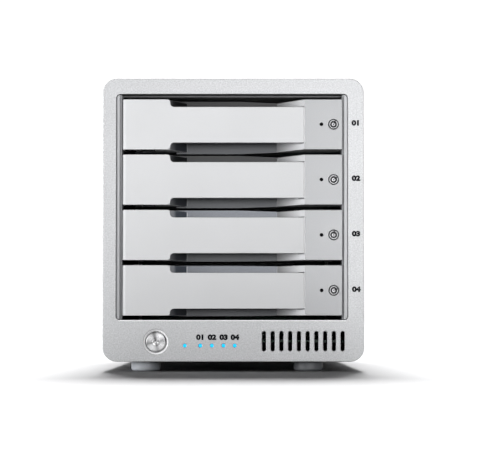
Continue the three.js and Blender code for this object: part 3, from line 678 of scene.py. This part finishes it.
def bezel_shell():
    """The front plate with its bay opening, vent slots, button hole and light holes."""
    loops = [
        rounded(BEZEL_LOW.x, BEZEL_HIGH.x, BEZEL_LOW.z, BEZEL_HIGH.z, 8.0, 24),
        rounded(*OPENING["x"], *OPENING["z"], OPENING["radius"], 10),
        circle(BUTTON_AT[0], BUTTON_AT[2], BUTTON_RING, 64),
    ]
    loops += [circle(x, LIGHTS_Z, LIGHT_HOLE, 24) for x in LIGHTS_X]
    half, radius = SLOTS["height"] / 2, SLOTS["width"] / 2
    for i in range(SLOTS["count"]):
        x = SLOTS["first"] + i * SLOTS["pitch"]
        loops.append(rounded(x - radius, x + radius, SLOTS["z"] - half, SLOTS["z"] + half, radius - 0.01, 8))
    return upright_plate(loops, FACE, BEZEL_HIGH.y, 0.45, 4)


def opening_highlight_strip():
    """A near white strip along the bottom edge of the bay opening: a painted highlight where the edge catches
    the light.
    """
    sill = OPENING["z"][0]
    front, back = FACE - 0.03, FACE + 0.4
    section = [(front, sill - 0.5), (front, sill - 0.2), (back, sill + 0.04), (back, sill - 0.5)]
    ends = [OPENING["x"][0] + 1.3, OPENING["x"][1] - 1.3]
    count = len(section)
    sides = [(k, (k + 1) % count, (k + 1) % count + count, k + count) for k in range(count)]
    caps = [tuple(range(count)), tuple(range(count, 2 * count))]
    return tidy(from_lists([(x, y, z) for x in ends for y, z in section], sides + caps))


def button_surround():
    """The chamfer round the button, in a near white colour: a painted highlight all round it."""
    bore, outer = 6.05, BUTTON_RING - 0.01
    ring = [
        (bore, BEZEL_HIGH.y), (bore, FACE + 1.05), (6.12, FACE + 0.93), (6.95, FACE + 0.12),
        (7.05, FACE + 0.06), (outer, FACE + 0.4), (outer, BEZEL_HIGH.y), (bore, BEZEL_HIGH.y),
    ]
    return turned(ring, BUTTON_AT[0], BUTTON_AT[2], 96)


piece("bezel_shell", bezel_shell(), "body", "chassis", ("front_bezel",))
piece("opening_highlight_strip", opening_highlight_strip(), "rim", "chassis")
piece("button_surround", button_surround(), "chamfer", "chassis")

# ------------------------------------------------------------------ power button and lights


def button_cap():
    """A round cap with a dimple in its middle and a groove round that, its flange, and its stem."""
    top, radius, flange = FRONT + 0.15, 5.6, 7.0
    back = box("power_button")[1].y
    profile = [
        (0, top + 0.32), (0.9, top + 0.3), (1.15, top + 0.12), (1.3, top + 0.05), (2.0, top + 0.02),
        (2.2, top + 0.18), (2.45, top + 0.18), (2.6, top + 0.02), (4.9, top), (5.2, top + 0.05),
        (5.5, top + 0.3), (radius, top + 0.6), (radius, FRONT + 6.2), (flange, FRONT + 6.25),
        (flange, FRONT + 7.1), (2.0, FRONT + 7.2), (2.0, back), (0, back),
    ]
    return turned(profile, BUTTON_AT[0], BUTTON_AT[2], 96)


def light_guide():
    """A bar behind the bezel with a domed lens in each light hole."""
    low, high = box("status_light_guide")
    lens = [
        (0, FRONT + 0.12), (0.4, FRONT + 0.16), (0.74, FRONT + 0.32), (0.91, FRONT + 0.6),
        (0.93, FRONT + 1.0), (0.93, high.y), (0, high.y),
    ]
    bar = block((low.x, high.x), (FRONT + 6.8, FRONT + 8.8), (low.z, high.z), 0.3)
    return joined(bar, *[turned(lens, x, LIGHTS_Z, 32) for x in LIGHTS_X])


piece("button_cap", button_cap(), "button", "power_button_body", ("power_button",), smooth=40)
piece("light_guide", light_guide(), "light", "chassis", ("status_light_guide",))

# ------------------------------------------------------------------ bay numbers, printed


def printed_number(name, text, x, z):
    """Bold figures just in front of the bezel's face. The offset thickens their strokes."""
    curve = bpy.data.curves.new("figures", "FONT")
    curve.body = text
    curve.size = 3.8 * MM
    curve.align_x = "CENTER"
    curve.align_y = "CENTER"
    curve.offset = 0.27 * MM
    curve.extrude = 0.02 * MM
    mesh = mesh_of(curve)
    mesh.transform(Matrix.Diagonal((1.2, 1.0, 1.0, 1.0)))
    piece(name, moved(mesh, x, FRONT + 0.045, z, FACING_FRONT), "print", "chassis")


for i in TRAYS:
    printed_number(f"bay_number_{i}", f"0{i + 1}", BAY_NUMBERS_X, TRAYS_Z[i] + 0.45)
    printed_number(f"light_number_{i}", f"0{i + 1}", LIGHTS_X[i + 1] + 0.1, LIGHT_NUMBERS_Z)

# ------------------------------------------------------------------ casing, feet and trims


def gap_liner(side):
    """A strip in the gap between a trim and the trays."""
    low, high = box(f"bay_trim_{side}")
    x = (high.x + 0.03, high.x + 0.43) if side == "left" else (low.x - 0.43, low.x - 0.03)
    return block(x, (FRONT + 1.7, FRONT + 12), (OPENING["z"][0] + 0.3, OPENING["z"][1] - 0.3), 0.05, 1)


def foot(node):
    """A round rubber foot with a hollow sole and a plug into the casing."""
    low, high = box(node)
    x, y, _ = middle(node)
    radius, top, plug, corner = (high.x - low.x) / 2, BEZEL_LOW.z - 0.05, 2.2, 1.5
    profile = [(0, 0.35), (4.6, 0.35), (5.0, 0.0), (radius - corner, 0.0)]
    profile += arc(radius - corner, corner, corner, -75, 0, 6)
    profile += [(radius, top - 0.3), (radius - 0.3, top), (plug, top), (plug, high.z), (0, high.z)]
    return moved(turned(profile, 0, 0), x, y, 0, FACING_FRONT)


refine("casing_sleeve", "body", 0.2)
refine("rear_panel", "panel", 0)
for side in ("left", "right"):
    refine(f"bay_trim_{side}", "trim", 0.45, 3)
    piece(f"gap_liner_{side}", gap_liner(side), "liner", "chassis")
    for node in (f"foot_{side}_front", f"foot_{side}_rear"):
        piece(f"rubber_{node}", foot(node), "rubber", "chassis", (node,))

# ------------------------------------------------------------------ trays


def lock_barrel(i):
    """A barrel with a round well for a tubular key, a notched post in the well, and a cam behind."""
    low, high = box(f"tray_lock_{i}")
    face, radius = low.y, (high.x - low.x) / 2
    x, z = (low.x + high.x) / 2, TRAYS_Z[i]
    barrel = turned(
        [
            (0, face + 0.95), (0.35, face + 0.95), (0.4, face + 0.42), (0.9, face + 0.4),
            (1.05, face + 0.55), (1.05, face + 1.6), (1.9, face + 1.6), (1.9, face + 0.2),
            (2.0, face + 0.03), (radius - 0.3, face + 0.03), (radius - 0.12, face + 0.35),
            (radius - 0.12, face + 9.0), (0, face + 9.0),
        ],
        0, 0, 48,
    )
    notch = block((-0.35, 0.35), (face - 1, face + 1.5), (0.5, 2.3), 0)
    notch = moved(notch, turn=about_y(LOCK_TURNS[i]))
    cam = block((x - 1.3, x + 1.3), (face + 8.2, face + 10.0), (z - 1.3, high.z), 0.3)
    return joined(moved(carved(barrel, notch), x, 0, z), cam)


def lock_bush(i):
    """The ring that a lock turns in."""
    low, high = box(f"tray_lock_{i}")
    face, inner, outer = low.y, (high.x - low.x) / 2 + 0.1, 2.93
    ring = [
        (inner, face + 2.3), (inner, face + 0.5), (2.88, face + 0.02), (outer, face + 0.04),
        (outer, face + 2.3), (inner, face + 2.3),
    ]
    return turned(ring, (low.x + high.x) / 2, TRAYS_Z[i], 48)


def activity_light(i):
    """A plug in a tray's activity hole, with a bore in its middle."""
    face = box(f"tray_lock_{i}")[0].y
    plug = [
        (0, face + 1.5), (0.6, face + 1.4), (0.72, face + 0.05), (1.0, face - 0.03),
        (1.04, face - 0.01), (0.8, face + 0.02), (0.8, face + 2.0), (0, face + 2.0),
    ]
    return turned(plug, TRAY_RIGHT - 11.65, TRAYS_Z[i], 32)


def grip_lips(i):
    """Lips along the floor of the finger recess that reach into the gaps below and above the tray."""
    low, high = box(f"tray_front_{i}")
    left, right = GRIP_X
    below, above = LIPS[i]
    lips = []
    for edge, reach in ((low.z, -below), (high.z, above)):
        outline = [(left, edge - reach), (right, edge - reach), (right + 2, edge),
                   (right - 22, edge + reach), (left - 6, edge + reach), (left - 6, edge)]
        lips.append(upright_plate([outline], GRIP_FLOOR - 0.02, GRIP_FLOOR + 1.8, 0.12))
    return joined(*lips)


def lever_end_highlight(i):
    """A light pad against the end of a lever: a painted highlight that fills the dark gap there."""
    low, high = box(f"tray_front_{i}")
    end = box(f"tray_lever_{i}")[1].x
    return block((end + 0.05, end + 0.27), (FRONT + 1.12, FRONT + 3.9), (low.z + 3.7, high.z - 4.1), 0.03, 1)


def hard_drive(i, body):
    """A casting with its side screw holes, the pressed cover, a blank label and the cover's screws."""
    low, high = box(f"hard_drive_{i}")
    lid, centre = high.z - 1.1, (low.x + high.x) / 2
    holes = [
        moved(block((-3, 3), (-1.6, 1.6), (-1.6, 1.6), 0), side, high.y - from_rear, low.z + DRIVE_HOLES["z"])
        for side in (low.x, high.x) for from_rear in DRIVE_HOLES["from_rear"]
    ]
    casting = flat_plate([rounded(low.x, high.x, low.y, high.y, 3.0, 6)], low.z, lid, 0.35)
    piece(f"drive_casting_{i}", carved(casting, *holes), "cast", body, (f"hard_drive_{i}",))

    x0, x1, y0, y1 = low.x + 1.2, high.x - 1.2, low.y + 1.2, high.y - 8
    sheet = flat_plate([rounded(x0, x1, y0, y1, 4.0, 8)], lid, high.z - 0.45, 0.2)
    disc = [circle(centre, y0 + 50, 42, 64), circle(centre, y0 + 50, 12, 32)]
    cover = joined(sheet, flat_plate(disc, high.z - 0.6, high.z - 0.1, 0.2))
    piece(f"drive_cover_{i}", cover, "cover", body)
    sticker = [rounded(centre - 34, centre + 34, y1 - 44, y1 - 6, 1.0, 4)]
    piece(f"drive_label_{i}", flat_plate(sticker, high.z - 0.5, high.z - 0.25, 0.05), "paper", body)

    corners = [(x, y) for y in (y0 + 4, y1 - 4) for x in (x0 + 4, x1 - 4)]
    heads = []
    for x, y in corners + [(x0 + 3.5, y0 + 66), (x1 - 3.5, y0 + 66)]:
        head = flat_plate([circle(x, y, 2.2, 24)], high.z - 0.6, high.z - 0.02, 0.12)
        socket = flat_plate([circle(x, y, 0.9, 6)], high.z - 0.4, high.z + 1.0, 0.0)
        heads.append(carved(head, socket))
    piece(f"drive_cover_screws_{i}", joined(*heads), "black_screw", body)


for i in TRAYS:
    body = f"tray_{i}"
    refine(f"tray_front_{i}", "tray", 0.35, 3)
    refine(f"tray_lever_{i}", "lever", 0.42, 3)
    refine(f"lever_pin_{i}", "black_screw", 0.15)
    refine(f"tray_sled_{i}", "sled", 0.25)
    piece(f"lock_barrel_{i}", lock_barrel(i), "lock", f"lock_{i}", (f"tray_lock_{i}",))
    piece(f"lock_bush_{i}", lock_bush(i), "lock_ring", body)
    piece(f"activity_light_{i}", activity_light(i), "dark_hole", body)
    piece(f"grip_lips_{i}", grip_lips(i), "tray", body)
    piece(f"lever_end_highlight_{i}", lever_end_highlight(i), "end_highlight", body)
    hard_drive(i, body)
    refine(f"drive_connector_{i}", "black", 0.2)

# ------------------------------------------------------------------ fan

BLADES = 7
BLADE_RADII = (15.6, 36.2)
# The steps of a blade from hub to tip and from edge to edge.
ALONG, CHORD = 8, 10


def fan_blade(k, middle_y):
    """A twisted blade, thicker along its middle, that widens towards its tip."""
    vertices, faces = [], []
    root, tip = BLADE_RADII
    for skin in (-0.5, 0.5):
        for a in range(ALONG + 1):
            share = a / ALONG
            radius = root + (tip - root) * share
            span = math.radians(20 + 2.5 * share)
            lift = 6.2 - 1.2 * share
            for b in range(CHORD + 1):
                t = 2 * b / CHORD - 1
                angle = 2 * math.pi * k / BLADES + math.radians(16) * share + t * span
                y = middle_y + t * lift + 1.6 * (1 - t * t) + skin * 1.1 * (1.1 - 0.7 * t * t)
                vertices.append((radius * math.cos(angle), y, FAN_Z + radius * math.sin(angle)))
    across, sheet = CHORD + 1, (ALONG + 1) * (CHORD + 1)
    for a in range(ALONG):
        for b in range(CHORD):
            p = a * across + b
            faces.append((p, p + 1, p + across + 1, p + across))
            faces.append((p + sheet, p + sheet + across, p + sheet + across + 1, p + sheet + 1))
    outline = [a * across for a in range(ALONG + 1)] + [ALONG * across + b for b in range(1, across)]
    outline += [a * across + CHORD for a in range(ALONG - 1, -1, -1)] + list(range(CHORD - 1, 0, -1))
    for p, q in zip(outline, outline[1:] + outline[:1]):
        faces.append((p, q, q + sheet, p + sheet))
    return tidy(from_lists(vertices, faces))


def fan_impeller():
    low, high = box("fan_rotor")
    radius, depth, shaft = 16.0, low.y + 17.5, 1.5
    hub = [
        (0, low.y), (radius - 1.4, low.y), (radius - 0.4, low.y + 0.5), (radius, low.y + 1.4),
        (radius, depth), (shaft, depth), (shaft, high.y), (0, high.y),
    ]
    return joined(turned(hub, 0, FAN_Z, 48), *[fan_blade(k, low.y + 8.75) for k in range(BLADES)])


def guard_wires():
    """Four rings on two crossed wires, with an eye at each fan screw."""
    corner = FAN_SCREWS_APART / 2
    paths = []
    for radius in (9, 18, 27, 36):
        paths.append(([(x, REAR + 1.75, FAN_Z + z) for x, z in circle(0, 0, radius, 72)], True))
    for side in (-1, 1):
        start = (-side * corner, REAR + 0.87, FAN_Z - corner)
        end = (side * corner, REAR + 0.87, FAN_Z + corner)
        paths.append(([tuple(s + (e - s) * t for s, e in zip(start, end)) for t in (0.03, 0.97)], False))
    inner, outer = 1.95, 3.4
    eye = [
        (inner, REAR + 0.1), (outer, REAR + 0.1), (outer, REAR + 1.4), (3.1, REAR + 1.65),
        (inner, REAR + 1.65), (inner, REAR + 0.1),
    ]
    eyes = [turned(eye, x, z, 32) for x in (-corner, corner) for z in (FAN_Z - corner, FAN_Z + corner)]
    return joined(wires(paths, 0.78), *eyes)


refine("fan_frame", "black", 0.35)
piece("fan_impeller", fan_impeller(), "black", "fan_rotor_body", ("fan_rotor",))
piece("guard_wires", guard_wires(), "bright", "chassis", ("fan_guard",))

# ------------------------------------------------------------------ rear screws


def screw_head(node, start, dome):
    """A head with an eased edge on a thin shank, along the Y axis."""
    low, high = box(node)
    radius, end, shank = (high.x - low.x) / 2, high.y, 1.25
    profile = [(0, low.y), (shank, low.y), (shank, start), (radius, start), (radius, end - dome)]
    profile += [(radius - dome * 0.4, end - dome * 0.25), (radius - dome * 1.2, end), (0, end)]
    return turned(profile, 0, 0, 40)


def cross_recess(end):
    """Two crossed slots."""
    bar = (-0.35, 0.35), (end - 0.8, end + 1), (-1.7, 1.7)
    return [moved(block(*bar, 0), turn=about_y(degrees)) for degrees in (45, 135)]


def hex_socket(end):
    return [turned([(0, end - 1.8), (1.4, end - 1.8), (1.4, end + 1), (0, end + 1)], 0, 0, 6)]


for node in sorted(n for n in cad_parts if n.startswith(("fan_screw", "rear_screw"))):
    x, _, z = middle(node)
    end = box(node)[1].y
    if node.startswith("fan"):
        head = carved(screw_head(node, REAR + 1.75, 0.35), *cross_recess(end))
        look, slot = "black_screw", "dark_steel"
    else:
        head = carved(screw_head(node, REAR + 0.05, 0.6), *hex_socket(end))
        look, slot = "bright", "bright_metal"
    piece(f"{node}_head", moved(head, x, 0, z), look, "chassis", (node,))

# ------------------------------------------------------------------ rear ports

refine("lan_ports", "steel", 0.2)
refine("usb_ports", "steel", 0.12)
refine("power_jack", "black", 0.25)


def lan_details():
    """The eight contacts and the two lights of each network socket."""
    low, high = box("lan_ports")
    centre = (low.x + high.x) / 2
    contacts, lights = [], []
    for socket in (centre - 7.8, centre + 7.8):
        for k in range(8):
            x = socket - 3.57 + k * 1.02
            y, z = (high.y - 11, high.y - 3.5), (low.z + 8.6, low.z + 9.1)
            contacts.append(block((x - 0.17, x + 0.17), y, z, 0.05, 1))
        for x in (socket - 4.9, socket + 4.9):
            y, z = (high.y - 0.6, high.y - 0.02), (low.z + 10.4, low.z + 12.2)
            lights.append(block((x - 1.1, x + 1.1), y, z, 0.15))
    return joined(*contacts), joined(*lights)


contacts, lights = lan_details()
piece("lan_contacts", contacts, "gold", "chassis")
piece("lan_lights", lights, "paper", "chassis")

# ------------------------------------------------------------------ inside

refine("drive_cage", "dark_steel", 0.2)
for side in ("left", "right"):
    refine(f"guide_panel_{side}", "black", 0.2)
refine("backplane_board", "board", 0.1)
refine("main_board", "board", 0.1)
refine("front_board", "black", 0.1)
refine("board_heat_sink", "fins", 0.15)

# ------------------------------------------------------------------ stage


def floor():
    """A wide sheet of studio paper at z 0."""
    bm = bmesh.new()
    bmesh.ops.create_grid(bm, x_segments=8, y_segments=8, size=12.0)
    mesh = bpy.data.meshes.new("studio_floor")
    bm.to_mesh(mesh)
    bm.free()
    obj = bpy.data.objects.new("studio_floor", mesh)
    scene.collection.objects.link(obj)
    n = surface("studio_paper", (0.47, 0.47, 0.475), 0.75, grain_mm=3.0, bump=0.02, mottle=0.01)
    less_gloss(n, 0.1)
    mesh.materials.append(n.material)
    return obj


def bright_behind(tree, front, back):
    """An even pale surround that is brighter behind the object than in front of it."""
    background = tree.nodes["Background"]
    direction = tree.nodes.new("ShaderNodeTexCoord").outputs["Generated"]
    split = tree.nodes.new("ShaderNodeSeparateXYZ")
    tree.links.new(direction, split.inputs[0])
    level = tree.nodes.new("ShaderNodeMapRange")
    level.interpolation_type = "SMOOTHSTEP"
    tree.links.new(split.outputs["Y"], level.inputs["Value"])
    for key, value in zip(("From Min", "From Max", "To Min", "To Max"), (0.5, 0.92, front, back)):
        level.inputs[key].default_value = value
    background.inputs["Color"].default_value = (1.0, 1.0, 1.0, 1.0)
    tree.links.new(level.outputs["Result"], background.inputs["Strength"])


def soft_sun(name, towards, spread_degrees, strength, receivers):
    light = bpy.data.lights.new(name, "SUN")
    light.angle = math.radians(spread_degrees)
    light.energy = strength
    obj = bpy.data.objects.new(name, light)
    obj.rotation_euler = Vector(towards).to_track_quat("Z", "Y").to_euler()
    scene.collection.objects.link(obj)
    obj.light_linking.receiver_collection = receivers


def area_light(name, place, target, size, watts, spread_degrees):
    light = bpy.data.lights.new(name, "AREA")
    light.shape = "RECTANGLE"
    light.size, light.size_y = size
    light.energy = watts
    light.spread = math.radians(spread_degrees)
    obj = bpy.data.objects.new(name, light)
    obj.location = place
    obj.rotation_euler = (Vector(target) - Vector(place)).to_track_quat("-Z", "Y").to_euler()
    scene.collection.objects.link(obj)
    obj.light_linking.receiver_collection = FLOOR_LEFT_OUT


# The two panels in front light the object and not the floor, so the shadow in front of it stays dark.
# The sun is a strong one on the floor and a weaker one on the object, so its top keeps its grey.
SUN_FROM = (0.0, 0.60, 0.80)
paper = floor()
FLOOR_ONLY = bpy.data.collections.new("floor_only")
FLOOR_ONLY.objects.link(paper)
FLOOR_LEFT_OUT = bpy.data.collections.new("floor_left_out")
FLOOR_LEFT_OUT.objects.link(paper)
FLOOR_LEFT_OUT.collection_objects[0].light_linking.link_state = "EXCLUDE"
world = bpy.data.worlds.new("studio")
scene.world = world
world.use_nodes = True
bright_behind(world.node_tree, 0.1, 1.1)
soft_sun("sun_on_floor", SUN_FROM, 24, 8.0, FLOOR_ONLY)
soft_sun("sun_on_object", SUN_FROM, 24, 3.0, FLOOR_LEFT_OUT)
area_light("front_panel", (0.26, -0.95, 0.17), (0.02, -0.12, 0.272), (0.7, 0.25), 1.25, 70)
area_light("left_fill", (-0.60, -0.42, 0.12), (0.02, -0.11, 0.12), (0.3, 0.24), 0.67, 70)
scene.view_settings.view_transform = "Standard"

camera = bpy.data.objects.new("camera", bpy.data.cameras.new("camera"))
scene.collection.objects.link(camera)
scene.camera = camera
camera.data.sensor_width = 36
camera.data.lens = 96.15
camera.data.shift_y = 0.12
camera.data.clip_end = 60
camera.location = (0.0032, FRONT * MM - 0.720, 0.028)
camera.rotation_euler = (math.radians(91.5), 0, 0)
